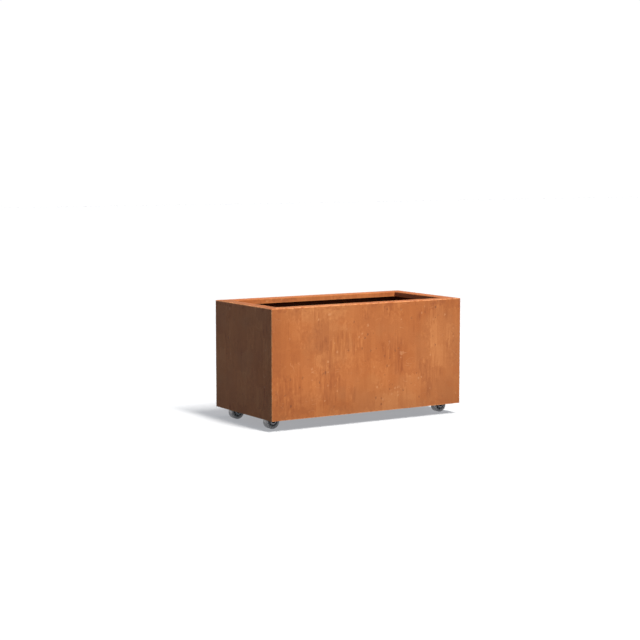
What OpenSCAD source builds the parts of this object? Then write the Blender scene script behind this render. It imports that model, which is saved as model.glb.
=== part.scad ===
// Rolling planter
//
// A rectangular planter folded and welded from weathering steel sheet. The walls turn inward into
// a flat rim with a return lip, and four swivel castors sit up inside the walls, bolted to folded
// channels under the base.
//
// Sizes are in millimetres. The origin is on the floor under the middle of the box.
// X runs along the planter, Y runs from front to back, and Z is up.

/* [Box] */

// Length of the box, left to right
box_length = 1000; // [800:10:1600]
// Depth of the box, front to back
box_depth = 505; // [420:5:800]
// Height of the walls with the rim
box_height = 485; // [300:5:800]
// Gap between the floor and the bottom edge of the walls
floor_gap = 48; // [30:1:60]
// Thickness of the wall sheet
sheet = 3; // [2:0.5:4]
// Inside radius of the folds in all sheet
fold_inner = 1; // [0.5:0.5:2]
// Radius ground on the four upright seams
seam_radius = 3; // [1:0.5:4]

/* [Rim] */

// Width of the flat rim that turns inward
rim_width = 60; // [30:5:90]
// Height of the lip under the rim's inner edge
lip_height = 22; // [12:1:40]

/* [Base] */

// Thickness of the base sheet
base_sheet = 3; // [2:0.5:4]
// Height of the base tray's turned-down edges
base_edge = 20; // [12:1:30]
// Diameter of each drain hole
drain_d = 20; // [12:1:30]
// Drain holes across each bay of the base
drain_columns = 2; // [1:1:3]
// Distance between the two rows of drain holes
drain_row_gap = 220; // [120:10:300]

/* [Bearers] */

// Height of the channels under the base
bearer_height = 30; // [24:1:40]
// Width of the two channels that carry the castors
bearer_width = 90; // [86:1:110]
// Width of the channel at mid-length
middle_width = 60; // [40:1:90]
// Thickness of the channel sheet
bearer_sheet = 3; // [2:0.5:4]

/* [Castor place] */

// Distance from each end of the box to the swivel axis
swivel_from_end = 74; // [70:1:150]
// Distance from the front and back of the box to the swivel axis
swivel_from_side = 96; // [80:1:140]

/* [Castor plate] */

// Length of the plate, along the planter
plate_length = 80; // [80:1:84]
// Width of the plate
plate_width = 65; // [64:1:76]
// Thickness of the plate
plate_sheet = 3; // [2.5:0.5:4]
// Corner radius of the plate
plate_corner = 6; // [2:1:8]
// Distance between the bolts along the plate
bolt_gap_x = 62; // [60:1:64]
// Distance between the bolts across the plate
bolt_gap_y = 47; // [46:1:50]
// Length of the slots for the bolts
slot_length = 12; // [10:0.5:13]

/* [Castor bolts] */

// Diameter of the bolts
bolt_d = 8; // [6:1:8]
// Width across the flats of the hexagons
bolt_flats = 13; // [10:1:13]
// Height of a bolt head
bolt_head = 5.3; // [4:0.1:6]
// Height of a nut
nut_height = 6.5; // [5:0.1:7]
// Diameter of a washer
washer_d = 16; // [14:1:17]
// Thickness of a washer
washer_sheet = 1.6; // [1:0.1:2]
// Length of thread that stands out of a nut
bolt_end = 2; // [1:0.5:4]

/* [Swivel head] */

// Diameter of the upper balls
ball_d = 6; // [5:0.5:6]
// Radius of the ring of upper balls
ball_ring = 19; // [18:0.5:20]
// Diameter of the lower balls
low_ball_d = 4; // [3:0.5:4]
// Radius of the ring of lower balls
low_ball_ring = 11; // [10.5:0.5:11.5]
// Height of the pressed race above the crown's sheet
race_rise = 6; // [5:0.5:8]
// Depth to which the upper race is pressed down out of the plate
press_depth = 2.4; // [2:0.1:2.8]
// Width of the flat beside a groove
race_shoulder = 1.5; // [1:0.1:2]
// Width of each sloping side of a pressed race
race_flank = 2; // [1.5:0.1:3]
// Width of the crown's flat edge outside its race
crown_edge = 1.5; // [1:0.5:3]
// Gap between the plate's race and the crown's race
race_gap = 2; // [1:0.5:3]
// Depth to which the lower balls sit in the crown
low_bite = 0.6; // [0.4:0.1:0.8]
// Distance from the middle of the lower balls down to their race's face
low_race_drop = 1; // [0.5:0.1:1.5]
// Thickness of the lower race
low_race_sheet = 3; // [2.8:0.1:4]
// Diameter of the kingpin in the plate
kingpin_d = 12; // [10:0.5:12]
// Height of the kingpin's lower head
kingpin_head = 2; // [1.5:0.5:3]
// Overhang of the kingpin's lower head
kingpin_lip = 3; // [2:0.5:4]
// Depth and overhang of the kingpin's flush upper head
kingpin_flare = 2.5; // [1:0.5:2.5]

/* [Fork] */

// Distance from the swivel axis to the axle, seen from above
trail = 22; // [18:1:26]
// Thickness of the fork's sheet
fork_sheet = 2.5; // [2:0.5:3]
// Gap between the top of the tyre and the crown
head_room = 8; // [8:1:14]
// Radius of the rounded end of a leg
leg_end = 12; // [10:0.5:14]
// Reach of a leg's top behind the swivel axis
leg_back = 17; // [14:1:20]
// Reach of a leg's top in front of the swivel axis
leg_front = 20; // [16:1:22]

/* [Wheel] */

// Diameter of the wheel over the tyre
wheel_d = 66; // [56:1:72]
// Width of the tyre
tyre_width = 30; // [22:1:32]
// Thickness of the tyre
tyre_depth = 8; // [6:0.5:10]
// Radius of the tyre's shoulders
tyre_shoulder = 2.5; // [2:0.5:5]
// Thickness of the wheel centre's rim
rim_ring = 3.5; // [2.5:0.5:4]
// Outside diameter of the hub
hub_d = 24; // [22:1:26]
// Length by which each end of the hub stands out past the tyre
hub_stand = 1.7; // [1:0.1:3]
// Thickness of the wheel centre's web
web = 3; // [2:0.5:4]
// Thickness of each rib
rib = 2.2; // [1.5:0.1:3]
// Distance from the tyre's side in to the edge of the wheel centre's rim
rim_inset = 1; // [0.5:0.5:2]
// Distance from the edge of the rim in to the ribs
rib_drop = 2; // [1:0.5:4]
// Number of ribs on each side
rib_count = 8; // [5:1:12]
// Thickness of the plain bush in the hub
bush_wall = 2; // [1.5:0.5:2.5]
// Diameter of the axle bolt
axle_d = 8; // [6:1:8]
// Outside diameter of the sleeve that the wheel turns on
sleeve_d = 12; // [11:0.5:13]
// Height of the round collar on the axle nut
nut_collar = 1.5; // [1:0.5:2.5]

/* [Clearances] */

// Clearance round a bolt in its hole
bolt_play = 0.3; // [0.2:0.1:0.5]
// Clearance between a bolt and its nut, and round a pressed pin
thread_play = 0.05; // [0.02:0.01:0.1]
// Clearance between a ball and its race
ball_play = 0.1; // [0.05:0.01:0.15]
// Clearance between the kingpin's collar and the crown
collar_play = 1; // [0.5:0.1:1.5]
// Clearance between the bush and the sleeve
bush_play = 0.06; // [0.02:0.01:0.1]
// Clearance between each end of the hub and the fork
hub_play = 0.3; // [0.2:0.1:0.6]
// Clearance between the ends of a bearer and the folds of the base tray
bearer_play = 0.5; // [0.2:0.1:1]

/* [Hidden] */

$fn = 64;

castor_parts = [
    "plate", "kingpin", "lower_race", "balls", "fork", "axle_bolt", "axle_nut",
    "axle_sleeve", "wheel_centre", "wheel_bush", "tyre"
];
// Each castor's name, and the sides of the box it stands at along X and Y
castors = [
    ["front_left", -1, -1],
    ["front_right", 1, -1],
    ["back_left", -1, 1],
    ["back_right", 1, 1]
];
box_parts = [
    "front_wall", "back_wall", "left_wall", "right_wall", "base_tray",
    "left_bearer", "right_bearer", "middle_bearer",
    "castor_bolts", "castor_washers", "castor_nuts"
];

rust = [0.72, 0.44, 0.28];
dark_rust = [0.42, 0.27, 0.19];
zinc = [0.72, 0.73, 0.74];
bright_steel = [0.85, 0.86, 0.88];
black_rubber = [0.16, 0.16, 0.17];
grey_plastic = [0.35, 0.35, 0.36];
pale_plastic = [0.86, 0.84, 0.78];

// Past a face that is cut away
over = 1;

// Castor heights, from the floor up
axle_z = wheel_d / 2;
crown_z = wheel_d + head_room;
crown_race_z = crown_z + fork_sheet + race_rise;
ball_z = crown_race_z + race_gap / 2;
plate_race_z = crown_race_z + race_gap;
groove_r = ball_d / 2 + ball_play;
plate_z = ball_z + groove_r + press_depth;
castor_height = plate_z + plate_sheet;

// Swivel head
race_half = ball_d / 2 + race_shoulder;
race_inner = ball_ring - race_half - race_flank;
race_outer = ball_ring + race_half + race_flank;
crown_r = race_outer + crown_edge;
low_groove_r = low_ball_d / 2 + ball_play;
low_ball_z = crown_z + low_bite - low_ball_d / 2;
low_race_z = low_ball_z - low_race_drop;
low_race_base = low_race_z - low_race_sheet;
low_race_r = low_ball_ring + low_ball_d / 2 + race_shoulder;
crown_bore = low_ball_ring - low_ball_d / 2 - ball_play;
kingpin_r = kingpin_d / 2;
collar_r = crown_bore - collar_play;

// Fork and wheel
hub_length = tyre_width + 2 * hub_stand;
fork_inside = hub_length + 2 * hub_play;
fork_outside = fork_inside + 2 * fork_sheet;
bush_bore = sleeve_d / 2 + bush_play;
bush_r = bush_bore + bush_wall;
tyre_seat = wheel_d / 2 - tyre_depth;
tyre_half = tyre_width / 2;

// Box heights
wall_z = floor_gap;
rim_z = floor_gap + box_height;
base_z = castor_height + bearer_height;
swivel_x = box_length / 2 - swivel_from_end;
swivel_y = box_depth / 2 - swivel_from_side;
inner_length = box_length - 2 * sheet;
inner_depth = box_depth - 2 * sheet;

// ---- Folded sheet ----

// A quarter of a fold with its centre at the origin, which fills the quadrant dx, dy
module fold(thickness, dx, dy) {
    intersection() {
        difference() {
            circle(r = fold_inner + thickness);
            circle(r = fold_inner);
        }
        translate([dx < 0 ? -2 * thickness - fold_inner : 0, dy < 0 ? -2 * thickness - fold_inner : 0])
            square(2 * thickness + fold_inner);
    }
}

// Section of a channel on its side: width along X, height along Y, open towards +X
module channel_section(width, height, thickness) {
    bend = thickness + fold_inner;
    translate([0, bend])
        square([thickness, height - 2 * bend]);
    for (top = [0, 1]) {
        translate([bend, top * (height - thickness)])
            square([width - bend, thickness]);
        translate([bend, top == 1 ? height - bend : bend])
            fold(thickness, -1, top == 1 ? 1 : -1);
    }
}

// Section of a wall with its rim and lip: distance in from the outer face along X, height along Y
module wall_section() {
    bend = sheet + fold_inner;
    square([sheet, box_height - bend]);
    translate([bend, box_height - bend])
        fold(sheet, -1, 1);
    translate([bend, box_height - sheet])
        square([rim_width - 2 * bend, sheet]);
    translate([rim_width - bend, box_height - bend])
        fold(sheet, 1, 1);
    translate([rim_width - sheet, box_height - lip_height])
        square([sheet, lip_height - bend]);
}

// Plan of a wall: mitred at both ends, with the upright corner ground round
module wall_plan(length) {
    reach = rim_width + over;
    intersection() {
        polygon([
            [-length / 2, 0],
            [length / 2, 0],
            [length / 2 - reach, reach],
            [reach - length / 2, reach]
        ]);
        union() {
            translate([seam_radius - length / 2, 0])
                square([length - 2 * seam_radius, reach]);
            translate([-length / 2, seam_radius])
                square([length, reach]);
            for (side = [-1, 1])
                translate([side * (length / 2 - seam_radius), seam_radius])
                    circle(r = seam_radius);
        }
    }
}

// One wall with its outer face on the plane Y = 0 and its bottom edge on Z = 0
module wall(length) {
    intersection() {
        rotate([90, 0, 90])
            linear_extrude(length, center = true)
                wall_section();
        translate([0, 0, -over])
            linear_extrude(box_height + 2 * over)
                wall_plan(length);
    }
}

module front_wall() {
    color(rust)
        translate([0, -box_depth / 2, wall_z])
            wall(box_length);
}

module back_wall() {
    color(rust)
        rotate([0, 0, 180])
            translate([0, -box_depth / 2, wall_z])
                wall(box_length);
}

module left_wall() {
    color(rust)
        rotate([0, 0, -90])
            translate([0, -box_length / 2, wall_z])
                wall(box_depth);
}

module right_wall() {
    color(rust)
        rotate([0, 0, 90])
            translate([0, -box_length / 2, wall_z])
                wall(box_depth);
}

// ---- Base ----

// A strip of the base tray, with an edge turned down along both sides
module tray_strip(width, length) {
    bend = base_sheet + fold_inner;
    rotate([90, 0, 0])
        linear_extrude(length, center = true) {
            translate([bend - width / 2, 0])
                square([width - 2 * bend, base_sheet]);
            for (side = [-1, 1]) {
                translate([side * (width / 2 - bend), -fold_inner])
                    fold(base_sheet, side, 1);
                translate([side * (width - base_sheet) / 2 - base_sheet / 2, base_sheet - base_edge])
                    square([base_sheet, base_edge - bend]);
            }
        }
}

// Centres of the drain holes: in each bay between two bearers, in two rows
function drain_places() = [
    for (side = [-1, 1], row = [-1, 1], column = [1:drain_columns])
        let (
            bay_in = middle_width / 2,
            bay_out = swivel_x - bearer_width / 2,
            x = bay_in + (bay_out - bay_in) * column / (drain_columns + 1)
        )
        [side * x, row * drain_row_gap / 2]
];

module base_tray() {
    bend = base_sheet + fold_inner;
    color(dark_rust)
        translate([0, 0, base_z])
            difference() {
                union() {
                    tray_strip(inner_length, inner_depth - 2 * bend);
                    rotate([0, 0, 90])
                        tray_strip(inner_depth, inner_length - 2 * bend);
                }
                for (place = drain_places())
                    translate([place[0], place[1], -over])
                        cylinder(d = drain_d, h = base_sheet + 2 * over);
            }
}

// A channel under the base, with its web on the side that faces -X
module bearer(width) {
    length = inner_depth - 2 * (base_sheet + fold_inner + bearer_play);
    translate([-width / 2, 0, castor_height])
        rotate([90, 0, 0])
            linear_extrude(length, center = true)
                channel_section(width, bearer_height, bearer_sheet);
}

// Holes for the bolts of the two castors on a bearer that stands at the swivel axis
module bearer_holes() {
    for (side = [-1, 1], x = [-1, 1], y = [-1, 1])
        translate([x * bolt_gap_x / 2, side * swivel_y + y * bolt_gap_y / 2, castor_height - over])
            cylinder(r = bolt_d / 2 + bolt_play, h = bearer_sheet + 2 * over);
}

module left_bearer() {
    color(dark_rust)
        translate([-swivel_x, 0, 0])
            difference() {
                bearer(bearer_width);
                bearer_holes();
            }
}

module right_bearer() {
    color(dark_rust)
        rotate([0, 0, 180])
            translate([-swivel_x, 0, 0])
                difference() {
                    bearer(bearer_width);
                    bearer_holes();
                }
}

module middle_bearer() {
    color(dark_rust)
        bearer(middle_width);
}

// ---- Fasteners ----

module hexagon(flats, height) {
    cylinder(d = flats / cos(30), h = height, $fn = 6);
}

// Repeats a fastener at every bolt of the four castors
module at_bolts() {
    for (c = castors, x = [-1, 1], y = [-1, 1])
        translate([c[1] * swivel_x + x * bolt_gap_x / 2, c[2] * swivel_y + y * bolt_gap_y / 2, 0])
            children();
}

module castor_bolts() {
    shank = plate_sheet + bearer_sheet + washer_sheet + nut_height + bolt_end;
    color(zinc)
        at_bolts()
            translate([0, 0, plate_z]) {
                translate([0, 0, -bolt_head])
                    hexagon(bolt_flats, bolt_head);
                cylinder(d = bolt_d, h = shank);
            }
}

module castor_washers() {
    color(zinc)
        at_bolts()
            translate([0, 0, castor_height + bearer_sheet])
                difference() {
                    cylinder(d = washer_d, h = washer_sheet);
                    translate([0, 0, -over])
                        cylinder(r = bolt_d / 2 + bolt_play, h = washer_sheet + 2 * over);
                }
}

module castor_nuts() {
    color(zinc)
        at_bolts()
            translate([0, 0, castor_height + bearer_sheet + washer_sheet])
                difference() {
                    hexagon(bolt_flats, nut_height);
                    translate([0, 0, -over])
                        cylinder(r = bolt_d / 2 + thread_play, h = nut_height + 2 * over);
                }
}

// ---- Castor, with its swivel axis on Z, its floor at Z = 0 and its wheel trailing towards +X ----

// A ring cut for a circle of balls
module ball_groove(ring, radius, z) {
    translate([0, 0, z])
        rotate_extrude()
            translate([ring, 0])
                circle(r = radius);
}

module slot(length, width, height) {
    cube([length - width, width, height], center = true);
    for (side = [-1, 1])
        translate([side * (length - width) / 2, 0, 0])
            cylinder(d = width, h = height, center = true);
}

module rounded_plate(length, width, corner, height) {
    linear_extrude(height) {
        square([length - 2 * corner, width], center = true);
        square([length, width - 2 * corner], center = true);
        for (x = [-1, 1], y = [-1, 1])
            translate([x * (length / 2 - corner), y * (width / 2 - corner)])
                circle(r = corner);
    }
}

// The top plate, with the upper race pressed down out of it
module plate() {
    color(zinc)
        difference() {
            union() {
                translate([0, 0, plate_z])
                    rounded_plate(plate_length, plate_width, plate_corner, plate_sheet);
                rotate_extrude()
                    polygon([
                        [race_inner, plate_z + over],
                        [race_inner, plate_z],
                        [ball_ring - race_half, plate_race_z],
                        [ball_ring + race_half, plate_race_z],
                        [race_outer, plate_z],
                        [race_outer, plate_z + over]
                    ]);
            }
            ball_groove(ball_ring, groove_r, ball_z);
            plate_hollow();
            for (x = [-1, 1], y = [-1, 1])
                translate([x * bolt_gap_x / 2, y * bolt_gap_y / 2, plate_z + plate_sheet / 2])
                    slot(slot_length, bolt_d + 2 * bolt_play, plate_sheet + 2 * over);
            translate([0, 0, plate_z - over])
                cylinder(r = kingpin_r + thread_play, h = plate_sheet + 2 * over);
            translate([0, 0, castor_height - kingpin_flare])
                cylinder(
                    r1 = kingpin_r + thread_play,
                    r2 = kingpin_r + kingpin_flare + thread_play,
                    h = kingpin_flare
                );
        }
}

// The hollow that the pressing leaves on top of the plate
module plate_hollow() {
    rotate_extrude()
        polygon([
            [ball_ring - race_half / 2, castor_height - press_depth],
            [ball_ring + race_half / 2, castor_height - press_depth],
            [ball_ring + race_half, castor_height + over],
            [ball_ring - race_half, castor_height + over]
        ]);
}

// The pin that holds the head together: flush above, with a collar between the races and a formed
// head under the lower race
module kingpin() {
    head_r = kingpin_r + kingpin_lip;
    color(zinc)
        rotate_extrude()
            polygon([
                [0, low_race_base - kingpin_head],
                [head_r - kingpin_head / 2, low_race_base - kingpin_head],
                [head_r, low_race_base - kingpin_head / 2],
                [head_r, low_race_base],
                [kingpin_r, low_race_base],
                [kingpin_r, low_race_z],
                [collar_r, low_race_z],
                [collar_r, plate_z],
                [kingpin_r, plate_z],
                [kingpin_r, castor_height - kingpin_flare],
                [kingpin_r + kingpin_flare, castor_height],
                [0, castor_height]
            ]);
}

// The grooved ring under the crown, which carries the lower balls
module lower_race() {
    color(zinc)
        difference() {
            translate([0, 0, low_race_base])
                cylinder(r = low_race_r, h = low_race_sheet);
            translate([0, 0, low_race_base - over])
                cylinder(r = kingpin_r + thread_play, h = low_race_sheet + 2 * over);
            ball_groove(low_ball_ring, low_groove_r, low_ball_z);
        }
}

// A full ring of balls
module ball_circle(diameter, ring, z) {
    count = floor(180 / asin((diameter + 2 * ball_play) / 2 / ring));
    for (i = [0:count - 1])
        rotate([0, 0, 360 * i / count])
            translate([ring, 0, z])
                sphere(d = diameter);
}

module balls() {
    color(bright_steel) {
        ball_circle(ball_d, ball_ring, ball_z);
        ball_circle(low_ball_d, low_ball_ring, low_ball_z);
    }
}

// Where a line from a point touches a circle; side is 1 or -1
function touch(point, centre, radius, side) =
    let (
        away = point - centre,
        reach = norm(away),
        turn = atan2(away[1], away[0]) + side * acos(radius / reach)
    )
    centre + radius * [cos(turn), sin(turn)];

// Outline of a leg seen from the side: straight edges from the crown that touch the round end
module leg_outline() {
    end = [trail, axle_z];
    back = [-leg_back, crown_z + fork_sheet];
    front = [leg_front, crown_z + fork_sheet];
    translate(end)
        circle(r = leg_end);
    polygon([back, touch(back, end, leg_end, 1), touch(front, end, leg_end, -1), front]);
}

// The fork's bent strip seen from the front: two legs and the crown between them
module strip_section() {
    bend = fork_sheet + fold_inner;
    translate([bend - fork_outside / 2, crown_z])
        square([fork_outside - 2 * bend, fork_sheet]);
    for (side = [-1, 1]) {
        translate([side * (fork_outside / 2 - bend), crown_z - fold_inner])
            fold(fork_sheet, side, 1);
        translate([side * (fork_outside - fork_sheet) / 2 - fork_sheet / 2, 0])
            square([fork_sheet, crown_z - fold_inner]);
    }
}

// The round crown with its raised race, pressed from sheet
module crown() {
    groove_floor = ball_z - groove_r - fork_sheet;
    rotate_extrude()
        polygon([
            [crown_bore, crown_z],
            [race_inner + fork_sheet, crown_z],
            [ball_ring - race_half / 2, groove_floor],
            [ball_ring + race_half / 2, groove_floor],
            [race_outer - fork_sheet, crown_z],
            [crown_r, crown_z],
            [crown_r, crown_z + fork_sheet],
            [race_outer, crown_z + fork_sheet],
            [ball_ring + race_half, crown_race_z],
            [ball_ring - race_half, crown_race_z],
            [race_inner, crown_z + fork_sheet],
            [crown_bore, crown_z + fork_sheet]
        ]);
}

// The two legs, joined by the part of the crown that lies over them
module legs() {
    between = fork_inside - 2 * fold_inner;
    difference() {
        intersection() {
            rotate([90, 0, 90])
                linear_extrude(2 * crown_r + 2 * trail, center = true)
                    strip_section();
            rotate([90, 0, 0])
                linear_extrude(fork_outside, center = true)
                    leg_outline();
        }
        translate([0, 0, crown_z])
            intersection() {
                cylinder(r = race_outer, h = 2 * fork_sheet + over, center = true);
                cube([2 * crown_r, between, 2 * fork_sheet + over], center = true);
            }
    }
}

module fork() {
    color(zinc)
        difference() {
            union() {
                legs();
                crown();
            }
            ball_groove(ball_ring, groove_r, ball_z);
            ball_groove(low_ball_ring, low_groove_r, low_ball_z);
            on_axle()
                cylinder(r = axle_d / 2 + bolt_play, h = fork_outside + 2 * over, center = true);
        }
}

// Puts a piece that is drawn about the Z axis on the axle, with +Z turned to +Y
module on_axle() {
    translate([trail, 0, axle_z])
        rotate([-90, 0, 0])
            children();
}

module axle_bolt() {
    color(zinc)
        on_axle()
            translate([0, 0, -fork_outside / 2]) {
                translate([0, 0, -bolt_head])
                    hexagon(bolt_flats, bolt_head);
                cylinder(d = axle_d, h = fork_outside + nut_height + bolt_end);
            }
}

// A lock nut, with the round collar of its insert on the outside
module axle_nut() {
    color(zinc)
        on_axle()
            translate([0, 0, fork_outside / 2])
                difference() {
                    union() {
                        hexagon(bolt_flats, nut_height - nut_collar);
                        cylinder(d = bolt_flats - nut_collar, h = nut_height);
                    }
                    translate([0, 0, -over])
                        cylinder(r = axle_d / 2 + thread_play, h = nut_height + 2 * over);
                }
}

module axle_sleeve() {
    color(zinc)
        on_axle()
            difference() {
                cylinder(d = sleeve_d, h = fork_inside, center = true);
                cylinder(r = axle_d / 2 + thread_play, h = fork_inside + 2 * over, center = true);
            }
}

module wheel_bush() {
    color(pale_plastic)
        on_axle()
            difference() {
                cylinder(r = bush_r, h = hub_length, center = true);
                cylinder(r = bush_bore, h = hub_length + 2 * over, center = true);
            }
}

// Hub, web, rim and the ribs between them
module wheel_centre() {
    rib_half = tyre_half - rim_inset - rib_drop;
    color(grey_plastic)
        on_axle()
            difference() {
                union() {
                    cylinder(d = hub_d, h = hub_length, center = true);
                    cylinder(r = tyre_seat, h = web, center = true);
                    difference() {
                        cylinder(r = tyre_seat, h = tyre_width - 2 * rim_inset, center = true);
                        cylinder(r = tyre_seat - rim_ring, h = tyre_width, center = true);
                    }
                    for (i = [0:rib_count - 1])
                        rotate([0, 0, 360 * (i + 0.5) / rib_count])
                            translate([0, -rib / 2, -rib_half])
                                cube([tyre_seat - rim_ring / 2, rib, 2 * rib_half]);
                }
                cylinder(r = bush_r, h = hub_length + 2 * over, center = true);
            }
}

module tyre() {
    color(black_rubber)
        on_axle()
            rotate_extrude() {
                translate([tyre_seat, -tyre_half])
                    square([tyre_depth - tyre_shoulder, tyre_width]);
                translate([tyre_seat, tyre_shoulder - tyre_half])
                    square([tyre_depth, tyre_width - 2 * tyre_shoulder]);
                for (side = [-1, 1])
                    translate([wheel_d / 2 - tyre_shoulder, side * (tyre_half - tyre_shoulder)])
                        circle(r = tyre_shoulder);
            }
}

// Stands a castor at its corner, with its wheel trailing towards the near end of the box
module at_castor(c) {
    translate([c[1] * swivel_x, c[2] * swivel_y, 0])
        rotate([0, 0, c[1] < 0 ? 180 : 0])
            children();
}

front_wall();
back_wall();
left_wall();
right_wall();
base_tray();
left_bearer();
right_bearer();
middle_bearer();
castor_bolts();
castor_washers();
castor_nuts();

for (c = castors) {
    at_castor(c) plate();
    at_castor(c) kingpin();
    at_castor(c) lower_race();
    at_castor(c) balls();
    at_castor(c) fork();
    at_castor(c) axle_bolt();
    at_castor(c) axle_nut();
    at_castor(c) axle_sleeve();
    at_castor(c) wheel_centre();
    at_castor(c) wheel_bush();
    at_castor(c) tyre();
}
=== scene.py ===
"""Looks of a rolling planter: a weathered steel box with a folded rim, on swivel castors.

Every length is in metres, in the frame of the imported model: X runs along the planter, Y from its
front to its back, Z up from the floor.
"""

from __future__ import annotations

import logging
import math
from dataclasses import dataclass
from enum import Enum
from typing import Any, Dict, List, Optional, Sequence, Tuple, Union

import bpy
from mathutils import Matrix, Vector

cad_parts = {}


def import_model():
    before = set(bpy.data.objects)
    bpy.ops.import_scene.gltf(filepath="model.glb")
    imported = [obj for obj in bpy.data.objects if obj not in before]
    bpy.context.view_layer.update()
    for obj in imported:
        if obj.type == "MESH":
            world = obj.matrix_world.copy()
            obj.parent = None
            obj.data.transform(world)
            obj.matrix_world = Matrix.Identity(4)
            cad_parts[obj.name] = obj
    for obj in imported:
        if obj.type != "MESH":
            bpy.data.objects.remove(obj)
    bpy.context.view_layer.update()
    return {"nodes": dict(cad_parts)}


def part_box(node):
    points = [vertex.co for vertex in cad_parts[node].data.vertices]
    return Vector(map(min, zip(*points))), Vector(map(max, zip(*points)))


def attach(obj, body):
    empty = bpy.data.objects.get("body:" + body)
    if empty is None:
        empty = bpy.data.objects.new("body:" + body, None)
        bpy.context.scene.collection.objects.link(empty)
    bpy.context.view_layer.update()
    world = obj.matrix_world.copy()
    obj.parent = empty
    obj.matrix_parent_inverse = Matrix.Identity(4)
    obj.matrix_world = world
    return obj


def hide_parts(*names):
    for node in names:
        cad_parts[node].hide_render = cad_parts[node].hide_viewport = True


LOG = logging.getLogger("rolling_planter")

MM = 0.001
WHEEL_RADIUS = 33 * MM
AXLE_FROM_MIDDLE = 448 * MM  # Along X.
MERGE = 1e-6  # Points of a mesh that lie closer are one.
# Sockets of a Mix node that mixes colours: its factor, its two colours and its result.
MIX_FACTOR, MIX_FIRST, MIX_SECOND, MIX_RESULT = 0, 6, 7, 2

Colour = Tuple[float, float, float]
Place = Tuple[float, float, float]
Outline = Sequence[Tuple[float, float]]
Zone = Tuple[float, float, float, float]  # Middle along X, middle height, reach along X, reach up.


# --- Shader graphs ---


class Wire:
    """The output of a node. Arithmetic on wires adds Math nodes to their graph."""

    def __init__(self, graph: "Graph", socket: bpy.types.NodeSocket) -> None:
        """Keeps the graph and the output socket of the node that the wire leaves."""
        self.graph = graph
        self.socket = socket

    def __add__(self, other: "Operand") -> "Wire":
        """Returns self + other."""
        return self.graph.math("ADD", self, other)

    def __radd__(self, other: "Operand") -> "Wire":
        """Returns other + self."""
        return self.graph.math("ADD", other, self)

    def __sub__(self, other: "Operand") -> "Wire":
        """Returns self - other."""
        return self.graph.math("SUBTRACT", self, other)

    def __rsub__(self, other: "Operand") -> "Wire":
        """Returns other - self."""
        return self.graph.math("SUBTRACT", other, self)

    def __mul__(self, other: "Operand") -> "Wire":
        """Returns self * other."""
        return self.graph.math("MULTIPLY", self, other)

    def __rmul__(self, other: "Operand") -> "Wire":
        """Returns other * self."""
        return self.graph.math("MULTIPLY", other, self)

    def __truediv__(self, other: "Operand") -> "Wire":
        """Returns self / other."""
        return self.graph.math("DIVIDE", self, other)

    def __pow__(self, other: "Operand") -> "Wire":
        """Returns self to the power of other."""
        return self.graph.math("POWER", self, other)

    def __abs__(self) -> "Wire":
        """Returns the size of self without its sign."""
        return self.graph.math("ABSOLUTE", self)


Operand = Union[Wire, float]


@dataclass(frozen=True)
class Layer:
    """One noise in a finish.

    Attributes:
        scale: Waves to the metre.
        detail: Number of finer noises on top.
        rough: Strength of the finer noises.
        stretch: Factor for the place along each axis. A small one draws the noise out that way.
        shift: Moves the noise against the others.
    """

    scale: float
    detail: float = 2.0
    rough: float = 0.5
    stretch: Place = (1, 1, 1)
    shift: Place = (0, 0, 0)

    @property
    def plain(self) -> bool:
        """Returns whether the noise is neither stretched nor shifted."""
        return self.stretch == (1, 1, 1) and self.shift == (0, 0, 0)


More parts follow.
